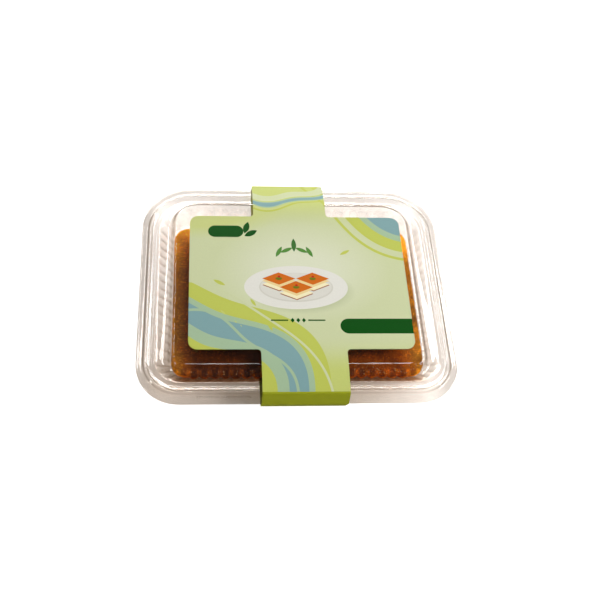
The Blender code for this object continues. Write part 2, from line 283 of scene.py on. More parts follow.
def clear_film(name, haze_share, gloss_roughness, frost=0.0, pastry_showthrough=0.0):
    """Make thin clear PET: it lets light through, tints where seen edge on, and mirrors.

    The drawn wall between the tray's floor and its lip may be frosted, and its front, where
    the pastry is pressed on it, may carry painted brown: a painted refraction of the pastry.
    """
    material, tree, surface = new_material(name)
    place = add_node(tree, "TexCoord").outputs["Object"]
    film = add_node(tree, "Group", node_tree=ripple_group)
    tree.links.new(place, film.inputs["Vector"])
    height = film.outputs["Height"]
    normal = add_node(tree, "Bump", {"Strength": 0.25, "Distance": 0.0004, "Height": height}).outputs[0]
    axes = add_node(tree, "SeparateXYZ", (place,)).outputs
    low = span(tree, axes["Z"], *WALL_FROST_LOW)
    high = span(tree, axes["Z"], *WALL_FROST_HIGH)
    on_wall = maths(tree, "MULTIPLY", low, high)
    fades_back = span(tree, axes["Y"], *SHOWTHROUGH_BACK)
    fades_front = span(tree, axes["Y"], *SHOWTHROUGH_FRONT)
    in_front = maths(tree, "MULTIPLY", fades_back, fades_front)
    by_slab = span(tree, maths(tree, "ABSOLUTE", axes["X"]), *SHOWTHROUGH_ENDS)
    # Where the painted refraction of the pastry's brown lies: before the slab's front, between its ends
    showthrough_share = maths(tree, "MULTIPLY", in_front, maths(tree, "MULTIPLY", by_slab, pastry_showthrough))
    facing = add_node(tree, "LayerWeight", {"Blend": 0.5, "Normal": normal}).outputs["Facing"]
    edge = maths(tree, "POWER", facing, 2.0, clamp=True)
    tint = blend(tree, edge, FILM_FACE, FILM_EDGE)
    # Painted refraction: the pastry's brown is mixed into the film's tint at the wall's front
    clear = add_node(tree, "BsdfTransparent", {"Color": blend(tree, showthrough_share, tint, PASTRY_SHOWTHROUGH_BROWN)})
    cloudy = add_node(tree, "BsdfPrincipled", {
        "Base Color": FILM_HAZE, "Roughness": 0.35, "Normal": normal})
    share = maths(tree, "MULTIPLY_ADD", on_wall, frost, haze_share)
    uneven = maths(tree, "MULTIPLY_ADD", film.outputs["Haze"], HAZE_SPREAD, HAZE_LEAST)
    cloud = maths(tree, "MULTIPLY", uneven, share)
    cloud = maths(tree, "MULTIPLY", cloud, maths(tree, "SUBTRACT", 1.0, showthrough_share, clamp=True))
    body = add_node(tree, "MixShader", (cloud, clear.outputs[0], cloudy.outputs[0]))
    mirror = add_node(tree, "BsdfGlossy", {
        "Color": (1, 1, 1, 1), "Roughness": gloss_roughness, "Normal": normal})
    fresnel = add_node(tree, "Fresnel", {"IOR": FILM_IOR, "Normal": normal}).outputs[0]
    outside = maths(tree, "SUBTRACT", 1.0, add_node(tree, "NewGeometry").outputs["Backfacing"])
    gleam = maths(tree, "MULTIPLY", fresnel, outside)
    both = add_node(tree, "MixShader", (gleam, body.outputs[0], mirror.outputs[0]))
    tree.links.new(both.outputs[0], surface)
    return material


# The tray's wall front carries the painted refraction of the pastry's brown
tray.data.materials.append(clear_film("tray_film_pet", 0.045, 0.05, frost=0.11, pastry_showthrough=0.7))
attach(tray, "root")
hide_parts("tray")

# Kunafa: a slab of fine syrup-soaked pastry crumb with a browned top, cut square, laid in
# the tray and pressed against its front wall, so that the flutes print their bays into it.
slab_low, slab_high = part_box("kunafa")
SLAB_CORNER = 0.0085
SLAB_EDGE = 0.0014
SLAB_VOXEL = 0.00066
SLAB_FOOT_FRONT = -0.0501
SCALLOP_OUT = 0.0008
SCALLOP_IN = 0.0004
LEAN_TOP_Z = 0.0098
SCALLOPS_HALF_X = 0.0788 - 0.0150
SCALLOP_PITCH = 2 * SCALLOPS_HALF_X / FLUTES_LONG_SIDE
SCALLOP_END_X = 0.0625
SCALLOP_FADE = 0.0030
SCALLOP_DEPTH_IN = 0.0035
LEAN_DEPTH_IN = 0.0200
ROOM_FOR_RELIEF = 0.0006
CRUMB_RELIEF = 0.00035
CLOD_RELIEF = 0.00055
slab_middle = (slab_low + slab_high) / 2
slab_size = slab_high - slab_low

bpy.ops.object.select_all(action="DESELECT")
bpy.ops.mesh.primitive_cube_add(size=1)
kunafa = bpy.context.object
kunafa.name = "kunafa_slab"
kunafa.data.name = "kunafa_slab"
bpy.ops.object.mode_set(mode="EDIT")
slab_block = (slab_size.x, slab_size.y, slab_size.z - ROOM_FOR_RELIEF)
bpy.ops.transform.resize(value=slab_block, center_override=(0, 0, 0))
bpy.ops.transform.translate(value=slab_middle)
select_edges(kunafa, lambda a, b: abs(a.z - b.z) > slab_size.z / 2)
bpy.ops.mesh.bevel(offset=SLAB_CORNER, segments=10, affect="EDGES")
select_edges(kunafa, lambda a, b: a.z > slab_middle.z and b.z > slab_middle.z)
bpy.ops.mesh.bevel(offset=SLAB_EDGE, segments=4, affect="EDGES")
select_edges(kunafa, lambda a, b: a.z < slab_middle.z and b.z < slab_middle.z)
bpy.ops.mesh.bevel(offset=SLAB_EDGE / 2, segments=2, affect="EDGES")
bpy.ops.object.mode_set(mode="OBJECT")
kunafa.data.remesh_voxel_size = SLAB_VOXEL
bpy.ops.object.voxel_remesh()

# The front leans with the wall below the lip, and its bays fill the flutes
lean_height = LEAN_TOP_Z - slab_low.z
for point in kunafa.data.vertices:
    co = point.co
    depth = max(0.0, LEAN_TOP_Z - co.z) / lean_height
    near_front = max(0.0, 1 - (co.y - slab_low.y) / LEAN_DEPTH_IN)
    lean = near_front * depth * (SLAB_FOOT_FRONT - slab_low.y)
    at_face = max(0.0, 1 - (co.y - slab_low.y) / SCALLOP_DEPTH_IN)
    straight = max(0.0, min(1.0, (SCALLOP_END_X - abs(co.x)) / SCALLOP_FADE))
    bay = abs(math.cos(math.pi * co.x / SCALLOP_PITCH))
    co.y += lean + at_face * straight * (SCALLOP_IN - (SCALLOP_IN + SCALLOP_OUT) * bay)


def rough_up(piece, name, kind, size, relief, **settings):
    """Push a surface in and out along its normals by a procedural texture."""
    texture = bpy.data.textures.new(name, kind)
    texture.noise_scale = size
    for option, value in settings.items():
        setattr(texture, option, value)
    apply_modifier(piece, "DISPLACE", texture=texture, strength=relief, mid_level=0.5,
                   texture_coords="LOCAL", direction="NORMAL")


rough_up(kunafa, "clods", "CLOUDS", 0.0060, CLOD_RELIEF, noise_depth=3)
rough_up(kunafa, "crumbs", "VORONOI", 0.0011, -CRUMB_RELIEF, noise_intensity=1.0)
bpy.ops.object.shade_smooth()


def between(tree, factor, first, second):
    """Mix two values and return the result."""
    return add_node(tree, "Mix", {"Factor": factor, 2: first, 3: second}).outputs[0]


def vectors(tree, operation, *values):
    """Add a Vector Math node and return its result."""
    result = "Value" if operation in ("LENGTH", "DOT_PRODUCT") else "Vector"
    return add_node(tree, "VectorMath", values, operation=operation).outputs[result]


SEED_SCALE = 900.0
SEED_EDGE = (0.46, 0.22)
crumb_group, crumb_in, crumb_out = new_group(
    "Pastry crumb",
    (("Vector", "Vector", None), ("Grain Scale", "Float", 1500.0), ("Patch Scale", "Float", 130.0)),
    (("Grain", "Float"), ("Patch", "Float"), ("Specks", "Float")),
)
grain = add_node(crumb_group, "TexVoronoi", {"Vector": crumb_in.outputs[0], "Scale": crumb_in.outputs[1]})
patch = add_node(crumb_group, "TexNoise", {
    "Vector": crumb_in.outputs[0], "Scale": crumb_in.outputs[2], "Detail": 6.0, "Roughness": 0.62})
seeds = add_node(crumb_group, "TexVoronoi", {"Vector": crumb_in.outputs[0], "Scale": SEED_SCALE})
round_seed = span(crumb_group, seeds.outputs["Distance"], *SEED_EDGE)
uneven = add_node(crumb_group, "SeparateXYZ", (seeds.outputs["Color"],)).outputs["X"]
specks = maths(crumb_group, "MULTIPLY", round_seed, uneven)
crumb_group.links.new(grain.outputs["Distance"], crumb_out.inputs["Grain"])
crumb_group.links.new(patch.outputs["Fac"], crumb_out.inputs["Patch"])
crumb_group.links.new(specks, crumb_out.inputs["Specks"])

# The crust is brown in the middle and golden near its sides and back: partly its own toasted edge, partly
# painted light where lamps shine through its thin sides, reaching further in at the back
CRUST_BROWN = paint(100, 44, 0)
CRUST_AMBER = paint(157, 82, 3)
CRUST_GOLD_AND_GLOW = paint(226, 146, 28)
AMBER_AT = 0.45
GOLD_WIDTH = 0.013
GOLD_WANDER = 0.010
GOLD_CORNER = 0.006
BACKLIT_GOLD_SHARE = 0.62
# Patches mottle it between a darker and a paler share and make it more or less moist;
# the pits between grains are darker, their own tone with painted shade in the hollows, and toasted seeds
# leave paler flecks
PATCH_SPAN = (0.3, 0.7)
MOTTLE_SHARES = (0.55, 1.50)
MOIST_ROUGHNESS = (0.62, 0.45)
PIT_TONE_AND_SHADE = (1.15, 0.70)
FLECK_SHARES = (0.88, 2.2)
# Painted light: its top is paler to the right and to the back, as lamps there would light it, its golden
# edge is painted darker on the right, and its sides are darker below
RIGHT_TO_LEFT = (0.050, -0.040)
TOP_PAINTED_LIGHT = (2.9, 1.0)
RIM_PAINTED_SHADE = (0.64, 0.88)
PAINTED_BACKLIGHT_Y = (0.012, 0.036)
PAINTED_BACKLIGHT_SHARES = (1.0, 2.9)
SIDE_HEIGHTS = (0.0080, 0.0126)
SIDE_SHARES = (0.36, 1.0)
# Its pressed front: painted shade in the bays, painted highlights on the marks between them, and painted
# light on the face under the edge
BAY_EDGE = (0.45, 0.80)
CUSP_HIGHLIGHT_AND_BAY_SHADE = (1.9, 0.80)
FRONT_STRIP = (-0.0522, -0.0536)
FACE_HEIGHTS = (0.0124, 0.0112)
FACE_PAINTED_LIGHT = 2.8

crust, tree, surface = new_material("kunafa_crust")
place = add_node(tree, "TexCoord").outputs["Object"]
crumb = add_node(tree, "Group", node_tree=crumb_group)
tree.links.new(place, crumb.inputs["Vector"])
axes = add_node(tree, "SeparateXYZ", (place,)).outputs
side_x = maths(tree, "SUBTRACT", slab_high.x, maths(tree, "ABSOLUTE", axes["X"]))
# The gold reaches further in at the back: painted light from the back lamp
side_y = maths(tree, "MULTIPLY", maths(tree, "SUBTRACT", slab_high.y, axes["Y"]), BACKLIT_GOLD_SHARE)
inside = maths(tree, "SMOOTH_MIN", side_x, side_y, GOLD_CORNER)
wander = maths(tree, "MULTIPLY_ADD", crumb.outputs["Patch"], GOLD_WANDER, -GOLD_WANDER / 2)
rim = span(tree, maths(tree, "ADD", inside, wander), 0.0, GOLD_WIDTH, 1.0, 0.0)
top_ramp = add_node(tree, "ValToRGB", (rim,))
stops = top_ramp.color_ramp.elements
stops[0].position, stops[0].color = 0.0, CRUST_BROWN
stops[1].position, stops[1].color = 1.0, CRUST_GOLD_AND_GLOW
stops.new(AMBER_AT).color = CRUST_AMBER
mottle = span(tree, crumb.outputs["Patch"], *PATCH_SPAN, *MOTTLE_SHARES)
to_left = span(tree, axes["X"], *RIGHT_TO_LEFT)
# Painted light and shade by side: the top paler to the right, the golden edge darker there
top_painted_light = span(tree, to_left, 0.0, 1.0, *TOP_PAINTED_LIGHT)
rim_painted_shade = span(tree, to_left, 0.0, 1.0, *RIM_PAINTED_SHADE)
painted_light_and_shade = between(tree, rim, top_painted_light, rim_painted_shade)
# Painted light: the crust is paler towards the back
painted_backlight = span(tree, axes["Y"], *PAINTED_BACKLIGHT_Y, *PAINTED_BACKLIGHT_SHARES)
darker_side = span(tree, axes["Z"], *SIDE_HEIGHTS, *SIDE_SHARES)
wave = maths(tree, "COSINE", maths(tree, "MULTIPLY", axes["X"], math.pi / SCALLOP_PITCH))
# Painted shade in the bays and painted highlights on the cusps between them, with painted light on the
# face below
bay_light_and_shade = span(tree, maths(tree, "ABSOLUTE", wave), *BAY_EDGE, *CUSP_HIGHLIGHT_AND_BAY_SHADE)
under_edge = span(tree, axes["Z"], *FACE_HEIGHTS)
bay_light_and_shade = between(tree, under_edge, bay_light_and_shade, FACE_PAINTED_LIGHT)
front_light_and_shade = between(tree, span(tree, axes["Y"], *FRONT_STRIP), 1.0, bay_light_and_shade)
# Darker pits: the crumb's own tone with painted shade in the hollows between grains
pit_tone_and_shade = span(tree, crumb.outputs["Grain"], 0.0, 0.75, *PIT_TONE_AND_SHADE)
flecks = span(tree, crumb.outputs["Specks"], 0.0, 1.0, *FLECK_SHARES)
baked_tone = top_ramp.outputs[0]
for share in (mottle, painted_light_and_shade, painted_backlight, darker_side, front_light_and_shade, pit_tone_and_shade, flecks):
    baked_tone = vectors(tree, "MULTIPLY", baked_tone, share)
moist = span(tree, crumb.outputs["Patch"], *PATCH_SPAN, *MOIST_ROUGHNESS)
relief = add_node(tree, "Bump", {"Strength": 0.55, "Distance": 0.00035, "Height": crumb.outputs["Grain"]})
relief.invert = True
baked = add_node(tree, "BsdfPrincipled", {
    "Base Color": baked_tone, "Roughness": moist, "Normal": relief.outputs["Normal"],
    "Subsurface Weight": 0.25, "Subsurface Radius": (0.004, 0.0018, 0.0005), "Subsurface Scale": 1.0,
    "Specular IOR Level": 0.05})
tree.links.new(baked.outputs[0], surface)
kunafa.data.materials.append(crust)
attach(kunafa, "root")
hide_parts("kunafa")

# Crumbs: loose grains of the same pastry, shaken onto the slab's front edge and down beside
# its two ends when the box was filled.
random.seed(7)
GRAIN_RADIUS = 0.0004
bpy.ops.object.select_all(action="DESELECT")
bpy.ops.mesh.primitive_ico_sphere_add(subdivisions=2, radius=GRAIN_RADIUS)
grain_piece = bpy.context.object
rough_up(grain_piece, "grain_lumps", "CLOUDS", 0.0003, 0.0003)
# Each heap: how many grains, and where it lies along X, along Y and in height
GRAIN_HEAPS = (
    (44, (0.030, 0.066), (-0.0560, -0.0500), slab_high.z),
    (16, (-0.060, -0.024), (-0.0560, -0.0530), slab_high.z),
    (12, (0.0712, 0.0722), (-0.0400, 0.0360), floor_z + 0.0006),
    (10, (-0.0722, -0.0712), (-0.0400, 0.0360), floor_z + 0.0006),
)
GRAIN_SIZES = (0.45, 1.25)
GRAIN_LIFT = 0.0001


def join_copies(seed, places, name):
    """Copy a piece to each place, each copy with its own mesh, and join the copies."""
    copies = []
    for place in places:
        one = seed.copy()
        one.data = seed.data.copy()
        one.data.transform(place)
        bpy.context.scene.collection.objects.link(one)
        copies.append(one)
    bpy.data.objects.remove(seed)
    bpy.ops.object.select_all(action="DESELECT")
    for one in copies:
        one.select_set(True)
    bpy.context.view_layer.objects.active = copies[0]
    bpy.ops.object.join()
    joined = bpy.context.object
    joined.name = name
    joined.data.name = name
    bpy.ops.object.shade_smooth()
    return joined


grain_places = []
for amount, along, across, z in GRAIN_HEAPS:
    for _ in range(amount):
        size = random.uniform(*GRAIN_SIZES)
        spot = Vector((random.uniform(*along), random.uniform(*across), z + GRAIN_LIFT * size))
        turn = Matrix.Rotation(random.uniform(0, math.tau), 4, (random.random(), random.random(), 1.0))
        flake = Matrix.Diagonal((size, size * 0.7, size * 0.5, 1))
        grain_places.append(Matrix.Translation(spot) @ turn @ flake)
crumbs = join_copies(grain_piece, grain_places, "kunafa_crumbs")
golden, tree, surface = new_material("kunafa_crumb_gold")
place = add_node(tree, "TexCoord").outputs["Object"]
crumb = add_node(tree, "Group", node_tree=crumb_group)
tree.links.new(place, crumb.inputs["Vector"])
toasted = add_node(tree, "BsdfPrincipled", {
    "Base Color": blend(tree, crumb.outputs["Patch"], paint(176, 92, 16), paint(240, 176, 84)),
    "Roughness": 0.35, "Subsurface Weight": 0.3, "Subsurface Radius": (0.002, 0.001, 0.0004)})
tree.links.new(toasted.outputs[0], surface)
crumbs.data.materials.append(golden)
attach(crumbs, "root")

# Lid: the same clear film, pressed into a bead that snaps over the tray's, a low shoulder,
# a sloping riser and a flat platform that the card lies on.
LID_FILM = 0.00040
lid_low, lid_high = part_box("lid")
lid_rim_z = lid_low.z + LID_FILM
platform_z = lid_high.z
LID_SIDE_CUTS = (17, 13)
# Each line of the mould, as for the tray, without flutes
LID_LINES = (
    (0.08975, 0.07205, 0.0002, lid_rim_z),
    (0.08920, 0.07150, 0.0007, lid_rim_z),
    (0.08720, 0.06800, 0.0030, lid_rim_z),
    (0.08665, 0.06745, 0.0034, lid_rim_z + 0.0001),
    (0.08625, 0.06705, 0.0039, lid_rim_z + 0.0010),
    (0.08595, 0.06675, 0.0042, lid_rim_z + 0.0018),
    (0.08530, 0.06610, 0.0048, lid_rim_z + 0.0024),
    (0.08450, 0.06530, 0.0056, lid_rim_z + 0.00255),
    (0.08400, 0.06480, 0.0061, lid_rim_z + 0.00245),
    (0.08290, 0.06370, 0.0071, lid_rim_z + 0.00205),
    (0.08240, 0.06310, 0.0075, lid_rim_z + 0.00162),
    (0.08110, 0.06090, 0.0083, lid_rim_z + 0.00145),
    (0.07980, 0.05940, 0.0091, lid_rim_z + 0.0022),
    (0.07900, 0.05880, 0.0097, lid_rim_z + 0.0024),
    (0.07350, 0.05830, 0.0123, lid_rim_z + 0.0025),
    (0.07215, 0.05735, 0.0132, lid_rim_z + 0.0036),
    (0.07060, 0.05580, 0.0144, platform_z - 0.0015),
    (0.07010, 0.05530, 0.0149, platform_z - 0.0007),
    (0.06950, 0.05470, 0.0154, platform_z - 0.0002),
    (0.06880, 0.05400, 0.0160, platform_z),
    (0.06780, 0.05300, 0.0164, platform_z - 0.0001),
    (0.06720, 0.05240, 0.0166, platform_z - 0.0003),
    (0.06620, 0.05140, 0.0170, platform_z - 0.0003),
    (0.05600, 0.04400, 0.0175, platform_z - 0.0003),
)
lid_edge_z = lid_rim_z - 0.0004
lid = start_sheet("lid_shell", rim_half_x, rim_half_y, lid_edge_z)
round_rim(lid, *LID_SIDE_CUTS)
press_lines(LID_LINES, (rim_half_x, rim_half_y, 0, lid_edge_z))
smooth_film(lid, 2, LID_LINES[-1], LID_FILM)
lid_pet = clear_film("lid_film_pet", 0.002, 0.03)
lid.data.materials.append(lid_pet)
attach(lid, "root")
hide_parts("lid")

# Rim dots: a short row of tiny low domes pressed up from the lid's flange at the front left,
# uneven as the mould's worn pins leave them.
DOT_PITCH = 0.00130
DOT_COUNT = 23
DOT_RADIUS = 0.00055
DOT_HEIGHT = 0.00060
DOT_ROW_START = -0.0560
DOT_ROW_Y = -0.0684
DOT_SWAY = 0.00012
bpy.ops.object.select_all(action="DESELECT")
bpy.ops.mesh.primitive_uv_sphere_add(segments=12, ring_count=6, radius=1)
dot = bpy.context.object
dot_places = []
for index in range(DOT_COUNT):
    y = DOT_ROW_Y + random.uniform(-DOT_SWAY, DOT_SWAY)
    width = DOT_RADIUS * random.uniform(0.6, 1.0)
    spot = Matrix.Translation((DOT_ROW_START + index * DOT_PITCH, y, lid_rim_z))
    dot_places.append(spot @ Matrix.Diagonal((width, DOT_RADIUS, DOT_HEIGHT, 1)))
dots = join_copies(dot, dot_places, "lid_rim_dots")
dots.data.materials.append(lid_pet)
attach(dots, "root")

# Sleeve: one blank of coated white board, printed on its outer face, folded round the shut
# box and glued underneath. It widens to a label with rounded corners on the platform.
sleeve_low, sleeve_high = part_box("sleeve")
CARD = 0.0005
LABEL_LEFT = -0.0612
LABEL_RIGHT = 0.0648
LABEL_HALF_Y = 0.0445
LABEL_CORNER = 0.0052
LABEL_FILLET = 0.0022
FRONT_TAB = (-0.0213, 0.0262)
BACK_TAB = (-0.0234, 0.0205)
TAB_ROOTS = (-0.024, 0.027)
FLAT_HALF_Y = 0.0546
# How far each fold lies from the label's middle along Y, and its height
FRONT_FOLDS = (
    (0.0702, 0.01995), (0.0706, 0.01950), (0.0710, 0.01860), (0.0726, 0.01180), (0.0728, 0.01140),
    (0.0727, 0.01090), (0.0697, 0.00110), (0.0690, 0.00035), (0.0680, 0.0),
)
BACK_FOLDS = (
    (0.0712, 0.01595), (0.0719, 0.01560), (0.0722, 0.01490), (0.0728, 0.01180), (0.0729, 0.01140),
    (0.0728, 0.01090), (0.0697, 0.00110), (0.0690, 0.00035), (0.0680, 0.0),
)
outer_top = sleeve_high.z
label_middle_x = (LABEL_LEFT + LABEL_RIGHT) / 2
label_half_x = (LABEL_RIGHT - LABEL_LEFT) / 2

sleeve = start_sheet("card_sleeve", label_half_x, LABEL_HALF_Y, outer_top)
bpy.ops.transform.translate(value=(label_middle_x, 0, 0))
for side in (*FRONT_TAB, *BACK_TAB):
    bpy.ops.mesh.select_all(action="SELECT")
    bpy.ops.mesh.bisect(plane_co=(side, 0, 0), plane_no=(1, 0, 0))


def select_tab_end(y, z, tab):
    """Select the edge that a tab ends in."""
    left, right = tab[0] - SAME_PLACE, tab[1] + SAME_PLACE
    select_edges(sleeve, lambda a, b: all(
        abs(p.y - y) < SAME_PLACE and abs(p.z - z) < SAME_PLACE and left < p.x < right
        for p in (a, b)))


def extend_tab(sign, tab, start, folds):
    """Pull a tab on from where it ends, fold by fold."""
    y, z = start
    for fold_y, fold_z in folds:
        select_tab_end(sign * y, z, tab)
        step = (0, sign * (fold_y - y), fold_z - z)
        bpy.ops.mesh.extrude_region_move(TRANSFORM_OT_translate={"value": step})
        y, z = fold_y, fold_z


label_edge, flat_end = (LABEL_HALF_Y, outer_top), (FLAT_HALF_Y, outer_top)
extend_tab(-1, FRONT_TAB, label_edge, (flat_end,))
extend_tab(1, BACK_TAB, label_edge, (flat_end,))
# The flat of the blank is one face; its corners are rounded, and so are the tabs' roots
bpy.ops.mesh.select_mode(type="FACE")
bpy.ops.mesh.select_all(action="SELECT")
bpy.ops.mesh.dissolve_faces()
bpy.ops.mesh.delete(type="ONLY_FACE")
spare_cuts = {-LABEL_HALF_Y: BACK_TAB, LABEL_HALF_Y: FRONT_TAB}
select_points(sleeve, lambda co: any(
    abs(co.y - y) < SAME_PLACE and abs(co.x - x) < SAME_PLACE
    for y, tab in spare_cuts.items() for x in tab))
bpy.ops.mesh.dissolve_verts()
select_points(sleeve, lambda co: min(co.x - LABEL_LEFT, LABEL_RIGHT - co.x) < 10 * SAME_PLACE)
bpy.ops.mesh.bevel(offset=LABEL_CORNER, segments=8, affect="VERTICES")
select_points(sleeve, lambda co: (
    abs(abs(co.y) - LABEL_HALF_Y) < SAME_PLACE and TAB_ROOTS[0] < co.x < TAB_ROOTS[1]))
bpy.ops.mesh.bevel(offset=LABEL_FILLET, segments=6, affect="VERTICES")
bpy.ops.mesh.select_all(action="SELECT")
bpy.ops.mesh.edge_face_add()
extend_tab(-1, FRONT_TAB, flat_end, FRONT_FOLDS)
extend_tab(1, BACK_TAB, flat_end, BACK_FOLDS)
select_points(sleeve, lambda co: abs(co.z - sleeve_low.z) < SAME_PLACE)
bpy.ops.mesh.edge_face_add()
bpy.ops.mesh.select_all(action="SELECT")
bpy.ops.mesh.normals_make_consistent(inside=False)
bpy.ops.object.mode_set(mode="OBJECT")
apply_modifier(sleeve, "SOLIDIFY", thickness=CARD, offset=-1, use_even_offset=True,
               material_offset=1, material_offset_rim=1)
bpy.ops.object.shade_smooth_by_angle(angle=math.radians(35))


def new_print(name, *settings):
    """Start a group that prints one simple shape and return its ends and the place in it."""
    settings = ("Centre X", "Centre Y", *settings)
    sockets = [("Vector", "Vector", None)] + [(setting, "Float", 0.0) for setting in settings]
    group, ends_in, ends_out = new_group(name, sockets, (("Mask", "Float"),))
    given = ends_in.outputs
    centre = add_node(group, "CombineXYZ", (given["Centre X"], given["Centre Y"])).outputs[0]
    return group, given, ends_out.inputs[0], vectors(group, "SUBTRACT", given[0], centre)


PRINT_EDGE = 0.00015
disc, given, mask_out, offset = new_print("Printed disc", "Half X", "Half Y", "Softness")
half = add_node(disc, "CombineXYZ", (given["Half X"], given["Half Y"], 1.0)).outputs[0]
reach = vectors(disc, "LENGTH", vectors(disc, "DIVIDE", offset, half))
inner = maths(disc, "SUBTRACT", 1.0, reach)
disc.links.new(maths(disc, "DIVIDE", inner, given["Softness"], clamp=True), mask_out)

bar, given, mask_out, offset = new_print("Printed bar", "Half X", "Half Y")
straight = maths(bar, "SUBTRACT", given["Half X"], given["Half Y"])
half = add_node(bar, "CombineXYZ", (straight, 0.0, 0.0)).outputs[0]
outside = vectors(bar, "SUBTRACT", vectors(bar, "ABSOLUTE", offset), half)
reach = vectors(bar, "LENGTH", vectors(bar, "MAXIMUM", outside, (0.0, 0.0, 0.0)))
inner = maths(bar, "SUBTRACT", given["Half Y"], reach)
bar.links.new(maths(bar, "DIVIDE", inner, PRINT_EDGE, clamp=True), mask_out)

lozenge, given, mask_out, offset = new_print("Printed lozenge", "Half X", "Half Y")
half = add_node(lozenge, "CombineXYZ", (given["Half X"], given["Half Y"], 1.0)).outputs[0]
ratio = vectors(lozenge, "ABSOLUTE", vectors(lozenge, "DIVIDE", offset, half))
reach = vectors(lozenge, "DOT_PRODUCT", ratio, (1.0, 1.0, 0.0))
inner = maths(lozenge, "MULTIPLY", maths(lozenge, "SUBTRACT", 1.0, reach), given["Half Y"])
lozenge.links.new(maths(lozenge, "DIVIDE", inner, PRINT_EDGE, clamp=True), mask_out)

leaf, given, mask_out, offset = new_print("Printed leaf", "Turn", "Half Length", "Half Width")
turned = add_node(leaf, "VectorRotate", {"Vector": offset, "Angle": given["Turn"]},
                  rotation_type="Z_AXIS").outputs[0]
along, across, _ = add_node(leaf, "SeparateXYZ", (turned,)).outputs
share = maths(leaf, "DIVIDE", along, given["Half Length"])
fullness = maths(leaf, "SUBTRACT", 1.0, maths(leaf, "MULTIPLY", share, share))
width = maths(leaf, "MULTIPLY", fullness, given["Half Width"])
inner = maths(leaf, "SUBTRACT", width, maths(leaf, "ABSOLUTE", across))
leaf.links.new(maths(leaf, "DIVIDE", inner, PRINT_EDGE, clamp=True), mask_out)

sweep, given, mask_out, offset = new_print("Printed sweep", "Inner", "Outer", "Swing", "Waves", "Phase")
along, across, _ = add_node(sweep, "SeparateXYZ", (offset,)).outputs
angle = maths(sweep, "ARCTAN2", across, along)
sway = maths(sweep, "SINE", maths(sweep, "MULTIPLY_ADD", angle, given["Waves"], given["Phase"]))
reach = maths(sweep, "MULTIPLY_ADD", sway, given["Swing"], vectors(sweep, "LENGTH", offset))
past_inner = maths(sweep, "SUBTRACT", reach, given["Inner"])
to_outer = maths(sweep, "SUBTRACT", given["Outer"], reach)
starts = maths(sweep, "DIVIDE", past_inner, PRINT_EDGE, clamp=True)
ends = maths(sweep, "DIVIDE", to_outer, PRINT_EDGE, clamp=True)
sweep.links.new(maths(sweep, "MULTIPLY", starts, ends), mask_out)

PALE_FIELD = paint(207, 214, 168)
LIME = paint(194, 202, 92)
TAB_LIME = paint(199, 208, 112)
# The front panel's lime: printed lime with painted shade
PANEL_LIME_WITH_SHADE = paint(158, 164, 36)
WATER_BLUE = paint(131, 168, 170)
SOFT_TEAL = paint(168, 194, 158)
DARK_GREEN = paint(0, 76, 6)
# The field turns from the label's pale green to the tabs' lime between these two distances
TABS_START = (0.036, 0.060)
TABS_SHARE = 0.9
PAPER_SHARES = (0.985, 1.015)
VARNISH_ROUGHNESS = (0.42, 0.52)

print_face, tree, surface = new_material("printed_card_face")
axes = add_node(tree, "SeparateXYZ", (add_node(tree, "TexCoord").outputs["Object"],)).outputs
drop = maths(tree, "SUBTRACT", outer_top, axes["Z"])
run = maths(tree, "MULTIPLY_ADD", maths(tree, "SIGN", axes["Y"]), drop, axes["Y"])
spot = add_node(tree, "CombineXYZ", (axes["X"], run)).outputs[0]
tab_share = span(tree, maths(tree, "ABSOLUTE", run), *TABS_START, 0.0, TABS_SHARE,
                 interpolation_type="SMOOTHSTEP")
ink = blend(tree, tab_share, PALE_FIELD, TAB_LIME)


def stamp(ink, shape, colour, *values, share=1.0):
    """Print one shape of one colour over the ink that is there and return the two as one."""
    mask = add_node(tree, "Group", (spot, *values), node_tree=shape).outputs[0]
    return blend(tree, maths(tree, "MULTIPLY", mask, share), ink, colour)


# Two soft discs: one lights the label's middle, one warms its back left
ink = stamp(ink, disc, paint(224, 227, 200), 0.004, 0.006, 0.052, 0.036, 0.7, share=0.9)
ink = stamp(ink, disc, paint(204, 211, 132), -0.062, 0.052, 0.060, 0.024, 0.35, share=0.9)
# Sweeps: the middle they run round, beyond the front left, the back right or the back tab,
# their swing, waves and phase, and each band's colour with its inner and outer reach
FRONT_MIDDLE = (-0.078, -0.100)
BACK_MIDDLE = (0.088, 0.098)
BACK_TAB_MIDDLE = (-0.012, 0.109)
SWEEPS = (
    (FRONT_MIDDLE, (0.0058, 6.0, 0.9), (
        (LIME, 0.0905, 0.1010), (SOFT_TEAL, 0.0870, 0.0915), (WATER_BLUE, 0.0760, 0.0880),
        (SOFT_TEAL, 0.0690, 0.0765), (LIME, 0.0, 0.0695))),
    (FRONT_MIDDLE, (0.0020, 7.0, 1.4), ((PALE_FIELD, 0.0975, 0.0990),)),
    (FRONT_MIDDLE, (0.0030, 9.0, 0.0), ((SOFT_TEAL, 0.0800, 0.0818),)),
    (BACK_MIDDLE, (0.0035, 5.0, 2.0), (
        (LIME, 0.0, 0.0570), (WATER_BLUE, 0.0560, 0.0680), (SOFT_TEAL, 0.0675, 0.0720),
        (LIME, 0.0715, 0.0790), (LIME, 0.0830, 0.0850))),
    (BACK_TAB_MIDDLE, (0.0022, 9.0, 0.6), (
        (PALE_FIELD, 0.0430, 0.0500), (SOFT_TEAL, 0.0510, 0.0560), (WATER_BLUE, 0.0520, 0.0552),
        (LIME, 0.0575, 0.0590))),
)
for middle, swing, bands in SWEEPS:
    for colour, inner, outer in bands:
        ink = stamp(ink, sweep, colour, *middle, inner, outer, *swing)
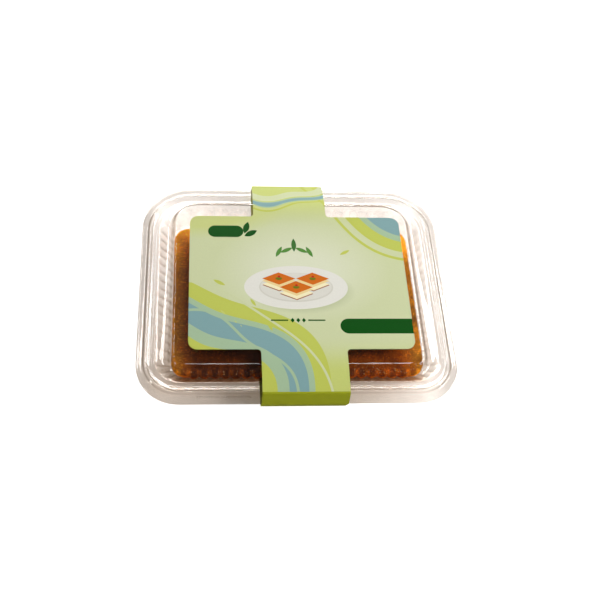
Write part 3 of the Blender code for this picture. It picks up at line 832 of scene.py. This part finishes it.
# Drops flung off the sweeps: place, turn, half length and colour
DROPS = (
    (-0.0440, -0.0020, 0.5, 0.0040, LIME), (-0.0250, -0.0150, 1.0, 0.0030, LIME),
    (-0.0160, -0.0300, 1.2, 0.0036, LIME), (-0.0420, -0.0215, 0.8, 0.0022, TAB_LIME),
    (-0.0350, -0.0275, 0.9, 0.0012, TAB_LIME), (-0.0320, -0.0300, 0.9, 0.0009, TAB_LIME),
    (0.0300, 0.0190, -0.5, 0.0036, LIME), (0.0560, 0.0330, 0.1, 0.0030, SOFT_TEAL),
)
DROP_WIDTH = 0.3
for x, y, turn, length, colour in DROPS:
    ink = stamp(ink, leaf, colour, x, y, turn, length, length * DROP_WIDTH)
# The plate: its shade on the field, its rim, its well and the light in it
ink = stamp(ink, disc, paint(178, 186, 140), 0.0035, -0.0078, 0.0310, 0.0150, 0.35, share=0.8)
ink = stamp(ink, disc, paint(232, 230, 220), 0.0, -0.0050, 0.0300, 0.0145, 0.01)
ink = stamp(ink, disc, paint(214, 211, 198), 0.0, -0.0050, 0.0215, 0.0098, 0.02)
ink = stamp(ink, disc, paint(224, 221, 210), 0.0, -0.0046, 0.0208, 0.0092, 0.02)
# Its three pieces: a browned foot, cream, pale crumb and a baked top, each layer higher than
# the last, with a little green and red on top
PIECE_PLACES = ((-0.0098, 0.0008), (0.0098, 0.0008), (0.0, -0.0050))
PIECE_LAYERS = (
    (paint(150, 74, 20), 0.0044), (paint(250, 238, 196), 0.0038),
    (paint(240, 214, 150), 0.0016), (paint(212, 108, 22), 0.0),
)
for x, y in PIECE_PLACES:
    for colour, lower in PIECE_LAYERS:
        ink = stamp(ink, lozenge, colour, x, y - lower, 0.0098, 0.0042)
    ink = stamp(ink, disc, paint(110, 120, 20), x, y, 0.0022, 0.0012, 0.3)
    ink = stamp(ink, disc, paint(200, 30, 24), x + 0.0002, y + 0.0013, 0.0009, 0.0008, 0.3)
# A sprig of four leaves in a fan, with an upright one over them
SPRIG_Y = 0.0215
for turn, x in ((-0.5, -0.0090), (-0.2, -0.0045), (0.2, 0.0045), (0.5, 0.0090)):
    ink = stamp(ink, leaf, paint(86, 140, 60), x, SPRIG_Y - abs(x) * 0.25, turn * 2.2, 0.0042, 0.0013)
ink = stamp(ink, leaf, paint(60, 112, 48), 0.0, 0.0240, math.pi / 2, 0.0048, 0.0015)
# Two bare pills, and a pair of leaves beside the back one
ink = stamp(ink, bar, DARK_GREEN, 0.0505, -0.0302, 0.0270, 0.0048)
ink = stamp(ink, bar, DARK_GREEN, -0.0400, 0.0335, 0.0105, 0.0042)
for turn, x, y in ((-0.5, -0.0252, 0.0322), (-1.3, -0.0278, 0.0362)):
    ink = stamp(ink, leaf, DARK_GREEN, x, y, turn, 0.0044, 0.0019)
# A small divider: two thin bars with three lozenges between them
DIVIDER_Y = -0.0265
for x in (-0.0105, 0.0105):
    ink = stamp(ink, bar, DARK_GREEN, x, DIVIDER_Y, 0.0050, 0.0005)
for x in (-0.0032, 0.0, 0.0032):
    ink = stamp(ink, lozenge, DARK_GREEN, x, DIVIDER_Y, 0.0012, 0.0016)
# Past the front fold the panel is one strong lime, its printed lime painted darker with the shade that
# falls on the downturned panel
PANEL_START = FRONT_FOLDS[0][0] + 0.0003
panel_with_shade = maths(tree, "LESS_THAN", run, -PANEL_START)
ink = blend(tree, panel_with_shade, ink, PANEL_LIME_WITH_SHADE)
paper = add_node(tree, "TexNoise", {"Vector": spot, "Scale": 900.0, "Detail": 4.0}).outputs["Fac"]
printed = vectors(tree, "MULTIPLY", ink, span(tree, paper, *PATCH_SPAN, *PAPER_SHARES))
fibre = add_node(tree, "Bump", {"Strength": 0.12, "Distance": 0.00005, "Height": paper}).outputs[0]
card = add_node(tree, "BsdfPrincipled", {
    "Base Color": printed, "Roughness": span(tree, paper, *PATCH_SPAN, *VARNISH_ROUGHNESS),
    "Normal": fibre, "Specular IOR Level": 0.03})
tree.links.new(card.outputs[0], surface)
sleeve.data.materials.append(print_face)
board, tree, surface = new_material("printed_card_board")
place = add_node(tree, "TexCoord").outputs["Object"]
fibres = add_node(tree, "TexNoise", {"Vector": place, "Scale": 1400.0, "Detail": 3.0}).outputs["Fac"]
pulp = blend(tree, fibres, paint(214, 216, 200), paint(240, 241, 230))
raw = add_node(tree, "BsdfPrincipled", {"Base Color": pulp, "Roughness": 0.7})
tree.links.new(raw.outputs[0], surface)
sleeve.data.materials.append(board)
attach(sleeve, "root")
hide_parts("sleeve")

# Floor, light and camera: a white sweep whose painted warm glow and shade show only through
# the film, a soft sky, large soft lamps from the right and behind, and strips that show only in
# mirrors, where they draw the film's pressed lines.
FLOOR_WHITE = paint(246, 243, 240)
# The floor's colour is painted darker where mirrors show it
FLOOR_IN_MIRRORS = paint(96, 90, 84)
WARM_GLOW = (1.0, 0.80, 0.60, 1)
WHITE_GLOW = (1, 1, 1, 1)
GLOW_STRAIGHT_ON = 0.90
GLOW_ON_THE_BOX = 0.25
GLOW_LEAST = 0.10
GLOW_BY_RIM, GLOW_UNDER_WALL = 0.03, 0.66
# Painted light: the floor's glow under the film is brighter to the back and a little less to the right
LIT_FROM_BACK = (-0.085, 0.030)
LIT_FROM_RIGHT = (0.0, 0.085)
RIGHT_SHARE = 0.75
# Painted light and shade: its glow is bright inside the tray's foot and dark under its flange, at the
# ends and at the back
FLANGE_SHADE_X = (0.087, 0.076)
FLANGE_SHADE_Y = (0.076, 0.062)

bpy.ops.object.select_all(action="DESELECT")
bpy.ops.mesh.primitive_circle_add(vertices=96, radius=2.4, fill_type="NGON")
floor = bpy.context.object
floor.name = "floor"
floor_paint, tree, surface = new_material("floor_paint")
seen = add_node(tree, "LightPath").outputs
axes = add_node(tree, "SeparateXYZ", (add_node(tree, "TexCoord").outputs["Object"],)).outputs
to_back = span(tree, axes["Y"], *LIT_FROM_BACK, interpolation_type="SMOOTHSTEP")
to_right = span(tree, axes["X"], *LIT_FROM_RIGHT, interpolation_type="SMOOTHSTEP")
lit_side = maths(tree, "MAXIMUM", to_back, maths(tree, "MULTIPLY", to_right, RIGHT_SHARE))
inside_x = span(tree, maths(tree, "ABSOLUTE", axes["X"]), *FLANGE_SHADE_X)
inside_y = span(tree, axes["Y"], *FLANGE_SHADE_Y)
inside = maths(tree, "MINIMUM", inside_x, inside_y)
strength = maths(tree, "MULTIPLY_ADD", inside, GLOW_UNDER_WALL, GLOW_BY_RIM)
under_film = maths(tree, "MULTIPLY_ADD", lit_side, strength, GLOW_LEAST)
# The eye meets the floor straight on where it has looked through no film at all
straight_on = maths(tree, "LESS_THAN", seen["Transparent Depth"], 0.5)
to_eye = between(tree, straight_on, under_film, GLOW_STRAIGHT_ON)
glow = between(tree, seen["Is Camera Ray"], GLOW_ON_THE_BOX, to_eye)
glow = maths(tree, "MULTIPLY", glow, maths(tree, "SUBTRACT", 1.0, seen["Is Glossy Ray"]))
glow_colour = blend(tree, straight_on, blend(tree, lit_side, WARM_GLOW, WHITE_GLOW), WHITE_GLOW)
matt = add_node(tree, "BsdfPrincipled", {
    "Base Color": blend(tree, seen["Is Glossy Ray"], FLOOR_WHITE, FLOOR_IN_MIRRORS),
    "Roughness": 0.9, "Specular IOR Level": 0.0,
    "Emission Color": glow_colour, "Emission Strength": glow})
tree.links.new(matt.outputs[0], surface)
floor.data.materials.append(floor_paint)

# The sky glows low down, darkens overhead, and is dim in front of the box
SKY_LOW = (0.95, 0.93, 0.91, 1)
SKY_OVERHEAD = (0.03, 0.027, 0.024, 1)
SKY_BEHIND = (-0.45, 0.25)
SKY_SHARES = (0.12, 1.0)
world = bpy.data.worlds.new("studio")
bpy.context.scene.world = world
world.use_nodes = True
sky = world.node_tree
direction = add_node(sky, "SeparateXYZ", (add_node(sky, "TexCoord").outputs["Generated"],))
ceiling = add_node(sky, "ValToRGB", (direction.outputs["Z"],))
stops = ceiling.color_ramp.elements
stops[0].position, stops[0].color = 0.20, SKY_LOW
stops[1].position, stops[1].color = 0.72, SKY_OVERHEAD
behind = span(sky, direction.outputs["Y"], *SKY_BEHIND, *SKY_SHARES)
dimmed = vectors(sky, "MULTIPLY", ceiling.outputs[0], behind)
backdrop = blend(sky, add_node(sky, "LightPath").outputs["Is Camera Ray"], dimmed, (1, 1, 1, 1))
sky.links.new(backdrop, sky.nodes["Background"].inputs["Color"])


def soft_lamp(name, place, width, height, power, gleam_only=False):
    """Hang a rectangular lamp that looks at the box, or a strip that only shows in mirrors."""
    data = bpy.data.lights.new(name, "AREA")
    data.shape = "RECTANGLE"
    data.size, data.size_y = width, height
    data.energy = power
    lamp = bpy.data.objects.new(name, data)
    bpy.context.scene.collection.objects.link(lamp)
    lamp.location = place
    lamp.rotation_euler = (-Vector(place)).to_track_quat("-Z", "Y").to_euler()
    lamp.visible_diffuse = not gleam_only


soft_lamp("key", (0.95, -0.05, 0.80), 0.50, 0.50, 10.8)
soft_lamp("back_softbox", (-0.15, 0.95, 0.62), 0.80, 0.35, 6.0)
soft_lamp("left_strip", (-0.95, -0.35, 0.33), 0.12, 0.34, 2.8)
soft_lamp("right_strip", (0.95, -0.42, 0.40), 0.10, 0.34, 1.4)
soft_lamp("back_gleam", (0.08, 0.74, 0.66), 1.10, 0.13, 5.0, gleam_only=True)
soft_lamp("back_low_gleam", (0.08, 0.90, 0.42), 1.10, 0.18, 19.0, gleam_only=True)
soft_lamp("right_back_gleam", (0.54, 0.46, 0.70), 0.15, 0.40, 3.6, gleam_only=True)
soft_lamp("left_back_gleam", (-0.37, 0.47, 0.79), 0.13, 0.40, 2.3, gleam_only=True)

FOCAL_PIXELS = 796.6
PICTURE_PIXELS = 600
SHIFT_PIXELS = 30
SENSOR_WIDTH = 36
CAMERA_PLACE = (-0.05011, -0.23787, 0.41096)
LOOK_DOWN, LOOK_RIGHT, ROLL = 59.772, 8.796, 7.749
camera_data = bpy.data.cameras.new("camera")
camera_data.sensor_width = SENSOR_WIDTH
camera_data.lens = SENSOR_WIDTH * FOCAL_PIXELS / PICTURE_PIXELS
camera_data.shift_x = SHIFT_PIXELS / PICTURE_PIXELS
camera_data.clip_start = 0.01
camera = bpy.data.objects.new("camera", camera_data)
bpy.context.scene.collection.objects.link(camera)
camera.matrix_world = (Matrix.Translation(CAMERA_PLACE)
                       @ Matrix.Rotation(math.radians(-LOOK_RIGHT), 4, "Z")
                       @ Matrix.Rotation(math.radians(90 - LOOK_DOWN), 4, "X")
                       @ Matrix.Rotation(math.radians(ROLL), 4, "Z"))
bpy.context.scene.camera = camera
bpy.context.scene.view_settings.view_transform = "Standard"
bpy.context.scene.cycles.transparent_max_bounces = 32
